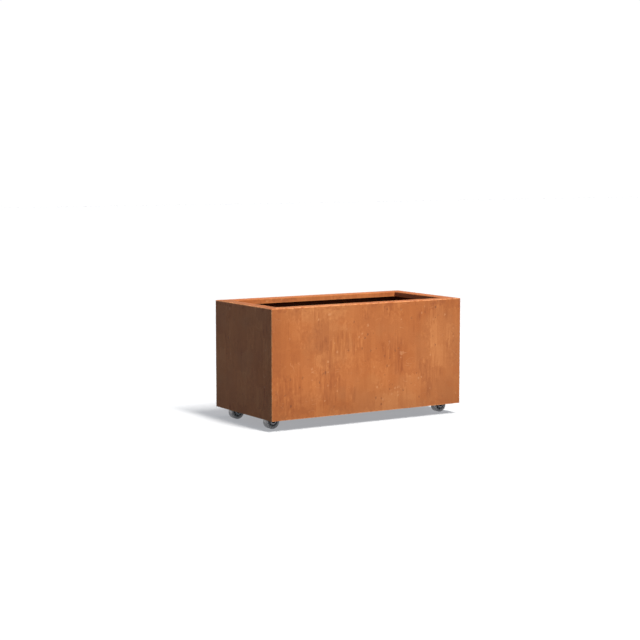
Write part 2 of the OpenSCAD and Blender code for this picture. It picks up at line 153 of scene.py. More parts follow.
class Graph:
    """A material's nodes, with one Principled shader at the end."""

    def __init__(self, name: str) -> None:
        """Makes the material with an empty tree and its shader.

        Args:
            name: The material's name.
        """
        self.material = bpy.data.materials.new(name)
        self.material.use_nodes = True
        self.tree = self.material.node_tree
        self.tree.nodes.clear()
        self.shader = self.tree.nodes.new("ShaderNodeBsdfPrincipled")
        output = self.tree.nodes.new("ShaderNodeOutputMaterial")
        self.tree.links.new(self.shader.outputs["BSDF"], output.inputs["Surface"])

    def node(
        self,
        kind: str,
        settings: Optional[Dict[str, Any]] = None,
        inputs: Optional[Dict[Union[str, int], Any]] = None,
        output: Union[str, int] = 0,
    ) -> Wire:
        """Adds a node.

        Args:
            kind: The node's type, without its ShaderNode prefix.
            settings: The node's own properties. "stops" holds a ramp's (place, colour) pairs.
            inputs: A value or a wire for each socket, by name or number.
            output: The output that is returned.

        Returns:
            The wire that leaves the asked output.
        """
        made = self.tree.nodes.new("ShaderNode" + kind)
        for key, value in (settings or {}).items():
            if key == "stops":
                self._set_stops(made.color_ramp, value)
            else:
                setattr(made, key, value)
        for key, value in (inputs or {}).items():
            if isinstance(value, Wire):
                self.tree.links.new(value.socket, made.inputs[key])
            else:
                made.inputs[key].default_value = value
        return Wire(self, made.outputs[output])

    @staticmethod
    def _set_stops(ramp: bpy.types.ColorRamp, stops: Sequence[Tuple[float, Colour]]) -> None:
        """Gives a ramp its stops.

        Args:
            ramp: The ramp of a new node, which has two stops.
            stops: Each stop's place from 0 to 1 and its colour.
        """
        for place, colour in stops[2:]:
            ramp.elements.new(place)
        for element, (place, colour) in zip(ramp.elements, sorted(stops)):
            element.position = place
            element.color = (*colour, 1.0)

    def math(self, operation: str, *values: Operand) -> Wire:
        """Adds a Math node with its inputs in order and returns its result."""
        return self.node("Math", {"operation": operation}, dict(enumerate(values)))

    def smooth(self, value: Wire, low: float, high: float) -> Wire:
        """Turns a value into a soft mask.

        Args:
            value: What is compared.
            low: Where the mask is 0.
            high: Where the mask is 1. It may lie below low.

        Returns:
            The mask, from 0 to 1.
        """
        turned = low > high
        ends = (high, low) if turned else (low, high)
        mask = self.node(
            "MapRange",
            {"interpolation_type": "SMOOTHSTEP"},
            {"Value": value, "From Min": ends[0], "From Max": ends[1]},
        )
        return 1.0 - mask if turned else mask

    def place(self) -> Wire:
        """Returns the point on the surface in the model's frame."""
        return self.node("TexCoord", output="Object")

    def split(self, vector: Wire) -> Tuple[Wire, Wire, Wire]:
        """Takes a vector apart.

        Args:
            vector: The vector or colour.

        Returns:
            Its three parts, one wire each.
        """
        parts = self.tree.nodes.new("ShaderNodeSeparateXYZ")
        self.tree.links.new(vector.socket, parts.inputs[0])
        return tuple(Wire(self, out) for out in parts.outputs)

    def stretched(self, place: Wire, scale: Place, shift: Place = (0, 0, 0)) -> Wire:
        """Scales a place along each axis, then shifts it, and returns the new place."""
        return self.node("Mapping", {}, {"Vector": place, "Scale": scale, "Location": shift})

    def noise(self, place: Wire, layer: Layer) -> Wire:
        """Adds a noise texture.

        Args:
            place: Where it is read.
            layer: The noise's settings.

        Returns:
            Values around one half.
        """
        if not layer.plain:
            place = self.stretched(place, layer.stretch, layer.shift)
        inputs = {"Scale": layer.scale, "Detail": layer.detail, "Roughness": layer.rough}
        return self.node("TexNoise", {}, {"Vector": place, **inputs})

    def tiles(self, along: Wire, up: Wire, width: float, height: float) -> Tuple[Wire, Wire]:
        """Adds upright rectangles of uneven sizes, column by column.

        Args:
            along: Place along the surface.
            up: Place up the surface.
            width: Mean width of a column.
            height: Mean height of a rectangle.

        Returns:
            Two unlike values for each rectangle, from -0.5 to 0.5.
        """
        most_stagger = 41.0
        settings = {"voronoi_dimensions": "1D"}
        column = self.node("TexVoronoi", settings, {"W": along / width, "Scale": 1.0}, "Color")
        stagger = most_stagger * self.split(column)[0]
        inputs = {"W": up / height + stagger, "Scale": 1.0}
        first, second, _ = self.split(self.node("TexVoronoi", settings, inputs, "Color"))
        return first - 0.5, second - 0.5

    def specks(self, vector: Wire, scale: float, size: float, share: float) -> Wire:
        """Adds scattered round specks.

        Args:
            vector: Where they are read.
            scale: Cells to the metre.
            size: The widest speck's radius as a share of its cell.
            share: Share of the cells that hold a speck.

        Returns:
            A mask that is 1 inside a speck.
        """
        soft_edge, soft_share = 0.06, 0.02
        inputs = {"Vector": vector, "Scale": scale}
        distance = self.node("TexVoronoi", {}, inputs, "Distance")
        chance = self.split(self.node("TexVoronoi", {}, inputs, "Color"))[0]
        radius = size * self.smooth(chance, share, 0.0)
        inside = self.smooth(distance - radius, 0.0, -soft_edge)
        return inside * self.smooth(chance, share, share - soft_share)

    def mix(self, factor: Operand, first: Any, second: Any, blend: str = "MIX") -> Wire:
        """Mixes two colours.

        Args:
            factor: Share of the second colour.
            first: A colour or a wire.
            second: A colour or a wire.
            blend: How the second is laid on the first.

        Returns:
            The mixed colour.
        """
        inputs = {MIX_FACTOR: factor}
        for key, value in ((MIX_FIRST, first), (MIX_SECOND, second)):
            inputs[key] = value if isinstance(value, Wire) else (*value, 1.0)
        settings = {"data_type": "RGBA", "blend_type": blend, "clamp_factor": True}
        return self.node("Mix", settings, inputs, MIX_RESULT)

    def shaded(self, colour: Wire, factor: Operand) -> Wire:
        """Multiplies a colour by a number and returns the lighter or darker colour."""
        return self.node("VectorMath", {"operation": "SCALE"}, {0: colour, "Scale": factor})

    def finish(
        self, normal: Optional[Tuple[Wire, float]] = None, **sockets: Any
    ) -> bpy.types.Material:
        """Sets the shader's sockets.

        Args:
            normal: The height of the surface's relief and the relief's depth in metres.
            sockets: A value or a wire for each socket, with _ for a space in its name.

        Returns:
            The finished material.
        """
        if normal is not None:
            height, depth = normal
            inputs = {"Height": height, "Distance": depth, "Strength": 1.0}
            sockets["Normal"] = self.node("Bump", {}, inputs, "Normal")
        for key, value in sockets.items():
            socket = self.shader.inputs[key.replace("_", " ")]
            if isinstance(value, Wire):
                self.tree.links.new(value.socket, socket)
            elif isinstance(value, tuple):
                socket.default_value = (*value, 1.0)
            else:
                socket.default_value = value
        return self.material


# --- Finishes ---


class Run(Enum):
    """The axis that a wall runs along, by its number."""

    X = 0
    Y = 1


@dataclass(frozen=True)
class WeatheredSteel:
    """The rust skin of weathering steel sheet, with runs down its upright faces.

    Attributes:
        name: The material's name.
        half_length, half_depth: Half the box's size along X and along Y.
        foot, top: Heights of the walls' bottom edge and of the rim's face.
        shift: Moves the pattern, so that no two sheets share it.
        rim, lip: Width of the rim, and height of the lip that hangs from it.
        run: The axis that the wall runs along.
        tone, rim_painted_shade: Overall lightness, and painted shade that darkens the rim's face.
        painted_light_tint: Painted light and shade: a tint for the upright faces, to how light
            falls on the wall.
        sheltered: How far from the outside the faces within the box reach.
        inner: Multiplies their colour: browner sheltered rust, and painted shade of the hollow.
        streaky: Where the front wall's streaks stand thickest.
        greyed, reddened: Where its rust is paler and greyer, and where it is redder.
        grey, scarlet: What the colour is multiplied by there.
        umber, body, pale: The darkest rust, the middle and the palest.
        fleck: Worn edges, scratches and pale specks.
        pit: Dark specks.
        slab, panel, bar: Widths and heights of the upright patches, from broad to narrow.
        clouds, tint: Where it is lighter, and where greyer.
        streaks, strewn: Where runs gather, and where crumbs do.
        rag, tatter: What frays the edges of the patches.
        runs, hairs, crumbs, fine: The marks on it.
        arcs: The noise whose middle level the curled scratches follow.
        blotches, wear: Dark spots on the lip, and where the edges are worn.
        grain, dust, waves: The relief of the surface, from fine to broad.
    """

    name: str
    half_length: float
    half_depth: float
    foot: float
    top: float
    shift: Place
    rim: float = 60 * MM
    lip: float = 22 * MM
    run: Run = Run.X
    tone: float = 1.0
    rim_painted_shade: float = 1.0
    painted_light_tint: Colour = (1.0, 1.0, 1.0)
    sheltered: float = 60 * MM
    inner: Colour = (0.426, 0.511, 0.685)
    streaky: Tuple[Zone, ...] = ()
    greyed: Tuple[Zone, ...] = ()
    reddened: Tuple[Zone, ...] = ()
    grey: Colour = (1.000, 1.070, 1.150)
    scarlet: Colour = (0.970, 0.930, 0.870)
    umber: Colour = (0.329, 0.0890, 0.0255)
    body: Colour = (0.456, 0.141, 0.0390)
    pale: Colour = (0.636, 0.233, 0.0720)
    fleck: Colour = (0.725, 0.350, 0.158)
    pit: Colour = (0.188, 0.060, 0.026)
    slab: Tuple[float, float] = (85 * MM, 150 * MM)
    panel: Tuple[float, float] = (38 * MM, 110 * MM)
    bar: Tuple[float, float] = (12 * MM, 80 * MM)
    clouds: Layer = Layer(5.0, 3.0)
    tint: Layer = Layer(3.4, stretch=(1, 1, 1.3), shift=(2.2, 0.7, 1.9))
    rag: Layer = Layer(16.0, 3.0, 0.55)
    tatter: Layer = Layer(90.0, 2.0, 0.6, (1, 1, 0.3))
    streaks: Layer = Layer(11.0, stretch=(1, 1, 0.6), shift=(1.3, 0.1, 0.5))
    runs: Layer = Layer(125.0, stretch=(1, 1, 0.13))
    hairs: Layer = Layer(260.0, 2.0, 0.6, (1, 1, 0.10))
    strewn: Layer = Layer(9.0, shift=(4.1, 2.2, 0.6))
    crumbs: Layer = Layer(78.0, 1.0, stretch=(1, 1, 0.75))
    arcs: Layer = Layer(7.0, 1.0, 0.4, (1, 1, 2.2), (0.9, 0.4, 0.2))
    blotches: Layer = Layer(34.0, 3.0, 0.6)
    wear: Layer = Layer(55.0, 3.0, 0.6)
    fine: Layer = Layer(190.0)
    grain: Layer = Layer(420.0, 4.0, 0.7)
    dust: Layer = Layer(1500.0, 2.0, 0.6)
    waves: Layer = Layer(2.2, 1.0, 0.4)

    def zoned(
        self, g: Graph, mask: Wire, x: Wire, z: Wire, rag: Wire, zones: Sequence[Zone]
    ) -> Wire:
        """Adds parts of the front wall to a mask, with ragged edges.

        Args:
            g: The material's graph.
            mask: The mask so far.
            x: Place along the wall.
            z: Height of the place.
            rag: A noise that frays the edges.
            zones: The parts.

        Returns:
            The mask, which is now 1 in the middle of each part too.
        """
        fray, full = 2.4, 0.25
        for middle_x, middle_z, reach_x, reach_z in zones:
            far = abs((x - middle_x) / reach_x) ** 2 + abs((z - middle_z) / reach_z) ** 2
            mask = g.math("MAXIMUM", mask, g.smooth(far + fray * (rag - 0.5), 1.0, full))
        return mask

    def skin(self, g: Graph, moved: Wire, x: Wire, z: Wire) -> Tuple[Wire, Wire]:
        """Colours the rust itself.

        Args:
            g: The material's graph.
            moved: The place on the surface, shifted.
            x: Place along the front wall.
            z: Height of the place.

        Returns:
            The rust's colour, and a mask of its dark pits.
        """
        clouds, rag = g.noise(moved, self.clouds), g.noise(moved, self.rag)
        tatter, fine = g.noise(moved, self.tatter), g.noise(moved, self.fine)
        streaks = g.smooth(g.noise(moved, self.streaks), 0.56, 0.66)
        streaked = self.zoned(g, streaks, x, z, rag, self.streaky)
        strewn = g.smooth(g.noise(moved, self.strewn), 0.50, 0.60)

        parts = g.split(moved)
        along = parts[self.run.value] + 0.006 * rag + 0.002 * tatter
        up = parts[2] + 0.05 * rag + 0.05 * tatter
        slab, slab_hue = g.tiles(along, up, *self.slab)
        panel, panel_hue = g.tiles(along + 7.3, up, *self.panel)
        bar, _ = g.tiles(along + 3.1, up, *self.bar)

        # From the darkest rust at 0 to the palest at 1, each layer by its own weight.
        tone = 0.5 + 0.30 * (clouds - 0.5) + 0.21 * slab + 0.18 * panel
        tone = tone + (0.06 + 0.22 * streaked) * bar
        tone = tone + (0.08 + 0.86 * streaked) * (g.noise(moved, self.runs) - 0.5)
        tone = tone + 0.06 * (g.noise(moved, self.hairs) - 0.5) + 0.26 * (fine - 0.5)
        tone = tone - 0.09 * streaked
        tone = tone + (0.04 + 0.48 * strewn) * (g.noise(moved, self.crumbs) - 0.5)
        stops = [(0.0, self.umber), (0.5, self.body), (1.0, self.pale)]
        colour = g.node("ValToRGB", {"stops": stops}, {0: tone})

        hue = g.noise(moved, self.tint) + 0.08 * slab_hue + 0.06 * panel_hue
        grey = self.zoned(g, g.smooth(hue, 0.53, 0.64), x, z, rag, self.greyed)
        red = self.zoned(g, g.smooth(hue, 0.48, 0.37), x, z, rag, self.reddened)
        colour = g.mix(0.9 * grey, colour, self.grey, "MULTIPLY")
        colour = g.mix(0.9 * red, colour, self.scarlet, "MULTIPLY")

        level = abs(g.noise(moved, self.arcs) - 0.52)
        arc = g.smooth(level, 0.0035, 0.0) * g.smooth(rag, 0.52, 0.60)
        colour = g.mix(0.34 * arc, colour, self.fleck)

        flecked = 0.08 + 0.92 * g.math("MAXIMUM", streaked, g.smooth(clouds, 0.53, 0.62))
        torn = g.node("VectorMath", {"operation": "ADD"}, {0: moved, 1: g.shaded(fine, 0.016)})
        pale = g.specks(g.stretched(torn, (1, 1, 0.8)), scale=62.0, size=0.34, share=0.22)
        apart = g.stretched(torn, (1, 1, 0.7), (0.31, 0.17, 0.43))
        dark = g.specks(apart, scale=68.0, size=0.35, share=0.26)
        colour = g.mix(0.38 * flecked * pale, colour, self.fleck)
        colour = g.mix(0.60 * flecked * dark, colour, self.pit)
        return colour, dark

    def make(self) -> bpy.types.Material:
        """Builds the material.

        Returns:
            The finished material.
        """
        g = Graph(self.name)
        here = g.place()
        x, y, z = g.split(here)
        moved = g.stretched(here, (1, 1, 1), self.shift)
        colour, pits = self.skin(g, moved, x, z)

        # Distances from the nearest outer face, from the nearest upright corner and from an edge.
        from_end = self.half_length - abs(x)
        from_side = self.half_depth - abs(y)
        from_top = self.top - z
        inset = g.math("MINIMUM", from_end, from_side)
        along = g.math("MAXIMUM", from_end, from_side)
        edge = g.math("MAXIMUM", inset, g.math("MINIMUM", along, from_top))
        edge = g.math("MINIMUM", edge, g.math("MAXIMUM", inset, z - self.foot))

        # Darker near the upright corners and the foot. The rim's face takes painted shade of its
        # own.
        colour = g.shaded(colour, 1.0 - 0.07 * g.smooth(along, 150 * MM, 0.0))
        colour = g.shaded(colour, 1.0 - 0.15 * g.smooth(z, self.foot + 170 * MM, self.foot))
        upright = g.smooth(from_top, 1 * MM, 2 * MM)
        colour = g.shaded(colour, 1.0 + (self.rim_painted_shade - 1.0) * (1.0 - upright))
        # Painted light and shade: the upright faces are tinted to how the light falls on this wall.
        colour = g.mix(upright, colour, self.painted_light_tint, "MULTIPLY")

        # Spots on the lip, wear on the edges, and a paler lower edge of the lip.
        blotch = g.smooth(g.noise(moved, self.blotches), 0.50, 0.64)
        blotch = blotch * g.smooth(inset, self.rim + 2 * MM, self.rim)
        on_lip = g.smooth(from_top, self.lip, self.lip - 3 * MM)
        colour = g.mix(0.55 * blotch * on_lip, colour, self.umber)
        worn = g.smooth(edge, 4.5 * MM, 1.0 * MM) * g.smooth(g.noise(moved, self.wear), 0.36, 0.60)
        colour = g.mix(0.45 * worn, colour, self.fleck)
        lip_edge = g.smooth(from_top, self.lip - 5 * MM, self.lip - 1 * MM)
        at_rim = g.smooth(inset, self.rim - 1 * MM, self.rim)
        colour = g.mix(0.25 * lip_edge * at_rim, colour, self.pale)

        # The faces within the box: browner rust where no rain reaches, and painted shade of the
        # hollow.
        reach = self.sheltered - 1.0 * MM
        sheltered_shade = g.smooth(inset, 1.4 * MM, 1.9 * MM) * g.smooth(inset, reach, reach - 0.5 * MM)
        sheltered_shade = sheltered_shade * g.smooth(from_top, 1.2 * MM, 1.8 * MM)
        colour = g.mix(sheltered_shade, colour, self.inner, "MULTIPLY")

        grain, dust = g.noise(moved, self.grain), g.noise(moved, self.dust)
        relief = 0.50 * grain + 0.15 * dust + 3.0 * g.noise(moved, self.waves) - 0.6 * pits
        return g.finish(
            normal=(relief, 0.35 * MM),
            Base_Color=g.shaded(colour, self.tone * (0.92 + 0.16 * grain)),
            Roughness=0.78 + 0.16 * grain,
            Specular_IOR_Level=0.20,
        )


@dataclass(frozen=True)
class ZincPlate:
    """Bright zinc plating on pressed or turned steel.

    Attributes:
        name: The material's name.
        colour: The plating's colour.
        rough: Its mean roughness.
        dull: How far the plating has clouded, from 0 to 1.
        clouded: Lightness of clouded plating.
        rust: Colour of the stains.
        cloud, spangle, stains: Noises of the clouding, the grain and the stains.
    """

    name: str
    colour: Colour
    rough: float
    dull: float
    clouded: float = 0.74
    rust: Colour = (0.33, 0.22, 0.14)
    cloud: Layer = Layer(60.0, 4.0, 0.6)
    spangle: Layer = Layer(700.0, 3.0, 0.6)
    stains: Layer = Layer(35.0, 5.0, 0.65)

    def make(self) -> bpy.types.Material:
        """Builds the material.

        Returns:
            The finished material.
        """
        g = Graph(self.name)
        here = g.place()
        cloud = g.noise(here, self.cloud)
        stain = g.smooth(g.noise(here, self.stains), 0.56, 0.72)
        clouded = tuple(self.clouded * c for c in self.colour)
        colour = g.mix(self.dull * g.smooth(cloud, 0.35, 0.65), self.colour, clouded)
        return g.finish(
            normal=(0.5 * g.noise(here, self.spangle) + 0.5 * cloud, 0.04 * MM),
            Base_Color=g.mix(0.30 * stain, colour, self.rust),
            Metallic=0.92 - 0.5 * stain,
            Roughness=self.rough + 0.20 * cloud + 0.25 * stain,
        )


@dataclass(frozen=True)
class Rubber:
    """Grey wheel rubber, painted paler on the tread for the light from the bright floor beside it.

    Attributes:
        name: The material's name.
        axle: Distance of the axles from the planter's middle along X, and their height.
        tread: Radius of the tread.
        colour: The rubber's grey, warmed by painted reflection of the rusty box above it.
        cloudy, scuffed, rolled: Its colours in the mottling and in scuffs, and the painted light on
            the tread.
        mottle, grit, scuffs: Noises of the mottling, of the grain and of the scuffs.
    """

    name: str
    axle: Tuple[float, float]
    tread: float
    colour: Colour = (0.360, 0.310, 0.304)
    cloudy: Colour = (0.412, 0.360, 0.345)
    scuffed: Colour = (0.34, 0.33, 0.315)
    painted_tread_light: Colour = (0.490, 0.410, 0.372)
    mottle: Layer = Layer(90.0, 4.0, 0.6)
    grit: Layer = Layer(900.0, 3.0, 0.65)
    scuffs: Layer = Layer(160.0, 3.0, 0.6, (1, 5, 1))

    def make(self) -> bpy.types.Material:
        """Builds the material.

        Returns:
            The finished material.
        """
        g = Graph(self.name)
        here = g.place()
        mottle = g.noise(here, self.mottle)
        scuff = g.smooth(g.noise(here, self.scuffs), 0.54, 0.70)
        colour = g.mix(0.5 * g.smooth(mottle, 0.35, 0.65), self.colour, self.cloudy)
        colour = g.mix(0.35 * scuff, colour, self.scuffed)
        x, _, z = g.split(here)
        out = (abs(abs(x) - self.axle[0]) ** 2 + abs(z - self.axle[1]) ** 2) ** 0.5
        # Painted light: the tread is made paler, for the bright floor that lights it.
        painted_tread_light = g.smooth(out, self.tread - 0.9 * MM, self.tread - 0.2 * MM)
        return g.finish(
            normal=(0.7 * g.noise(here, self.grit) + 0.3 * mottle, 0.10 * MM),
            Base_Color=g.mix(painted_tread_light * (0.70 + 0.40 * mottle), colour, self.painted_tread_light),
            Roughness=0.22 + 0.20 * mottle,
            Specular_IOR_Level=1.0,
            IOR=1.7,
        )


@dataclass(frozen=True)
class MouldedPlastic:
    """Moulded plastic with a fine grain.

    Attributes:
        name: The material's name.
        colour: The plastic's colour.
        rough: Its mean roughness.
        faded: Lightness of its paler clouds.
        dust: Colour of the dust on it.
        grain, cloud, dusty: Noises of the grain, the paler clouds and the dust.
    """

    name: str
    colour: Colour
    rough: float
    faded: float = 1.5
    dust: Colour = (0.30, 0.27, 0.23)
    grain: Layer = Layer(1300.0, 3.0, 0.6)
    cloud: Layer = Layer(70.0, 3.0, 0.55)
    dusty: Layer = Layer(45.0, 4.0, 0.6)

    def make(self) -> bpy.types.Material:
        """Builds the material.

        Returns:
            The finished material.
        """
        g = Graph(self.name)
        here = g.place()
        cloud = g.noise(here, self.cloud)
        dusty = g.smooth(g.noise(here, self.dusty), 0.52, 0.72)
        base = g.mix(0.25 * cloud, self.colour, tuple(self.faded * c for c in self.colour))
        return g.finish(
            normal=(g.noise(here, self.grain), 0.05 * MM),
            Base_Color=g.mix(0.22 * dusty, base, self.dust),
            Roughness=self.rough + 0.12 * cloud + 0.20 * dusty,
        )


# --- Modelling ---


class Lie(Enum):
    """The way a piece that was modelled upright is laid."""

    BACKWARD = Matrix.Rotation(math.radians(-90), 4, "X")
    FORWARD = Matrix.Rotation(math.radians(90), 4, "X")


class Bench:
    """Modelling by hand: primitives shaped in edit mode, about the origin, in metres."""

    @staticmethod
    def clear() -> None:
        """Deselects everything, so that an operator meets the new piece alone."""
        bpy.ops.object.select_all(action="DESELECT")

    @staticmethod
    def take(piece: bpy.types.Object) -> None:
        """Selects one piece and makes it active.

        Args:
            piece: The piece.
        """
        Bench.clear()
        piece.select_set(True)
        bpy.context.view_layer.objects.active = piece

    @staticmethod
    def close(name: str, smooth: float = 30.0) -> bpy.types.Object:
        """Merges doubles, turns the faces outward and leaves edit mode.

        Args:
            name: The piece's name.
            smooth: Largest angle in degrees between faces that are shaded as one.

        Returns:
            The piece.
        """
        bpy.ops.mesh.select_all(action="SELECT")
        bpy.ops.mesh.remove_doubles(threshold=MERGE)
        bpy.ops.mesh.normals_make_consistent(inside=False)
        bpy.ops.object.mode_set(mode="OBJECT")
        piece = bpy.context.object
        piece.name = name
        bpy.ops.object.shade_smooth_by_angle(angle=math.radians(smooth))
        return piece

    @staticmethod
    def turned(name: str, outline: Outline, steps: int = 48) -> bpy.types.Object:
        """Draws an outline point by point and spins it round the Z axis.

        Args:
            name: The piece's name.
            outline: Radius and height of each point. It ends on the axis or where it began.
            steps: Number of faces round.

        Returns:
            The turned piece.
        """
        Bench.clear()
        bpy.ops.mesh.primitive_plane_add(size=MM, location=(0, 0, 0))
        bpy.ops.object.mode_set(mode="EDIT")
        bpy.ops.mesh.select_all(action="SELECT")
        bpy.ops.mesh.merge(type="CENTER")
        bpy.ops.mesh.select_mode(type="VERT")
        bpy.ops.mesh.select_all(action="SELECT")
        bpy.ops.transform.translate(value=(outline[0][0], 0.0, outline[0][1]))
        for (r0, z0), (r1, z1) in zip(outline, outline[1:]):
            step = {"value": (r1 - r0, 0.0, z1 - z0)}
            bpy.ops.mesh.extrude_vertices_move(TRANSFORM_OT_translate=step)
        bpy.ops.mesh.select_all(action="SELECT")
        bpy.ops.mesh.spin(steps=steps, angle=math.tau, center=(0, 0, 0), axis=(0, 0, 1))
        return Bench.close(name)

    @staticmethod
    def hexagon(
        name: str, flats: float, height: float, both_ends: bool = False
    ) -> bpy.types.Object:
        """Makes a hexagon whose corners are turned off at 30 degrees.

        Args:
            name: The piece's name.
            flats: Width across the flats.
            height: Its height above the origin.
            both_ends: Turns the corners off at the foot too.

        Returns:
            The hexagon, with two of its corners on the X axis.
        """
        corner = flats / math.sqrt(3)
        blank, face = corner * 1.01, flats * 0.475
        drop = (blank - face) * math.tan(math.radians(30))
        outline = [(0.0, 0.0)]
        outline += [(face, 0.0), (blank, drop)] if both_ends else [(blank, 0.0)]
        outline += [(blank, height - drop), (face, height), (0.0, height)]
        cutter = Bench.turned("blank", outline)
        Bench.clear()
        bpy.ops.mesh.primitive_cylinder_add(
            vertices=6,
            radius=corner,
            depth=height,
            location=(0, 0, height / 2),
            rotation=(0, 0, math.radians(90)),
        )
        prism = bpy.context.object
        bpy.ops.object.transform_apply(location=True, rotation=True, scale=True)
        cut = prism.modifiers.new("turn off the corners", "BOOLEAN")
        cut.operation = "INTERSECT"
        cut.solver = "EXACT"
        cut.object = cutter
        bpy.ops.object.modifier_apply(modifier=cut.name)
        bpy.data.objects.remove(cutter)
        Bench.take(prism)
        bpy.ops.object.mode_set(mode="EDIT")
        return Bench.close(name, 20.0)

    @staticmethod
    def bead(name: str, length: float, radius: float, ripple: float) -> bpy.types.Object:
        """Draws out a disc step by step into a rippled weld bead.

        Args:
            name: The piece's name.
            length: Length along X, about the origin.
            radius: Its mean radius.
            ripple: Distance between its ripples.

        Returns:
            The bead.
        """
        swell, pinch, tip = 1.0, 0.80, 0.5
        Bench.clear()
        bpy.ops.mesh.primitive_circle_add(
            vertices=8,
            radius=radius * tip,
            fill_type="NGON",
            location=(-length / 2, 0, 0),
            rotation=(0, math.radians(90), 0),
        )
        bpy.ops.object.transform_apply(location=True, rotation=True, scale=True)
        bpy.ops.object.mode_set(mode="EDIT")
        bpy.ops.mesh.select_all(action="SELECT")
        count = max(2, round(length / ripple))
        sizes = [swell, pinch] * count
        sizes[-1] = tip
        size = tip
        for new in sizes:
            step = {"value": (length / len(sizes), 0.0, 0.0)}
            bpy.ops.mesh.extrude_region_move(TRANSFORM_OT_translate=step)
            grow = new / size
            bpy.ops.transform.resize(value=(1.0, grow, grow))
            size = new
        return Bench.close(name, 60.0)

    @staticmethod
    def copied(source: bpy.types.Object, name: str, place: Matrix) -> bpy.types.Object:
        """Copies a piece with a mesh of its own.

        Args:
            source: The piece.
            name: The copy's name.
            place: Where its mesh is put.

        Returns:
            The copy.
        """
        mesh = source.data.copy()
        mesh.transform(place)
        if place.determinant() < 0:
            mesh.flip_normals()
        made = bpy.data.objects.new(name, mesh)
        bpy.context.scene.collection.objects.link(made)
        return made

    @staticmethod
    def joined(name: str, pieces: Sequence[bpy.types.Object]) -> bpy.types.Object:
        """Joins pieces into one.

        Args:
            name: The name of the whole.
            pieces: What is joined.

        Returns:
            The whole.
        """
        Bench.take(pieces[0])
        for piece in pieces:
            piece.select_set(True)
        if len(pieces) > 1:
            bpy.ops.object.join()
        pieces[0].name = name
        pieces[0].data.name = name
        return pieces[0]

    @staticmethod
    def repeated(
        name: str, piece: bpy.types.Object, places: Sequence[Matrix]
    ) -> bpy.types.Object:
        """Puts a copy of a piece at each place, as one whole, and drops the piece itself.

        Args:
            name: The name of the whole.
            piece: What is copied.
            places: Where the copies go.

        Returns:
            The whole.
        """
        copies = [Bench.copied(piece, f"{name}_{i}", place) for i, place in enumerate(places)]
        bpy.data.objects.remove(piece)
        return Bench.joined(name, copies)


@dataclass(frozen=True)
class HexBolt:
    """A hexagon bolt, modelled on its head about the Z axis.

    Attributes:
        flats: Width across the flats, of its head and of its nut.
        head: Height of its head.
        radius: Radius of its shank.
        pitch: Length of one turn of its thread.
        depth: Depth of its thread.
        point: Width and height of the slope at its end.
    """

    flats: float = 13 * MM
    head: float = 5.3 * MM
    radius: float = 4 * MM
    pitch: float = 1.25 * MM
    depth: float = 0.55 * MM
    point: float = 0.8 * MM

    def threaded(self, top: float, thread: float) -> List[Tuple[float, float]]:
        """Draws the threaded end of the shank.

        Args:
            top: Height of its end.
            thread: Length of thread that is drawn.

        Returns:
            The outline from the first turn of the thread to the axis.
        """
        count = int(thread / self.pitch)
        start = top - self.point - count * self.pitch
        points = [(self.radius, start)]
        for i in range(count):
            points.append((self.radius - self.depth, start + (i + 0.5) * self.pitch))
            points.append((self.radius, start + (i + 1) * self.pitch))
        return points + [(self.radius - self.point, top), (0.0, top)]

    def make(self, name: str, length: float, thread: float) -> bpy.types.Object:
        """Makes the bolt, with the corners of its head turned off.

        Args:
            name: The bolt's name.
            length: Its whole length.
            thread: Length of thread that is drawn.

        Returns:
            The bolt.
        """
        head = Bench.hexagon("head", self.flats, self.head)
        turn_over = Matrix.Translation((0, 0, self.head)) @ Matrix.Rotation(math.pi, 4, "X")
        head.data.transform(turn_over)
        outline = [(0.0, self.head), (self.radius, self.head)] + self.threaded(length, thread)
        return Bench.joined(name, [head, Bench.turned("shank", outline, 24)])


def dress(piece: bpy.types.Object, material: bpy.types.Material) -> None:
    """Gives an object one material in place of its own."""
    piece.data.materials.clear()
    piece.data.materials.append(material)


def settle(
    piece: bpy.types.Object,
    body: str,
    material: bpy.types.Material,
    stands_for: Sequence[str] = (),
) -> None:
    """Dresses a new piece and puts it on its body.

    Args:
        piece: The new piece.
        body: The body that it rides on.
        material: Its material.
        stands_for: The CAD nodes that it replaces.
    """
    dress(piece, material)
    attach(piece, body)
    if stands_for:
        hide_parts(*stands_for)
    LOG.info("%s on %s", piece.name, body)


# --- The planter ---


class Corner(Enum):
    """A castor's corner: the sides of the box it stands at along X and Y."""

    FRONT_LEFT = (-1, -1)
    FRONT_RIGHT = (1, -1)
    BACK_LEFT = (-1, 1)
    BACK_RIGHT = (1, 1)

    @property
    def label(self) -> str:
        """Returns the corner's name as the model's nodes have it."""
        return self.name.lower()


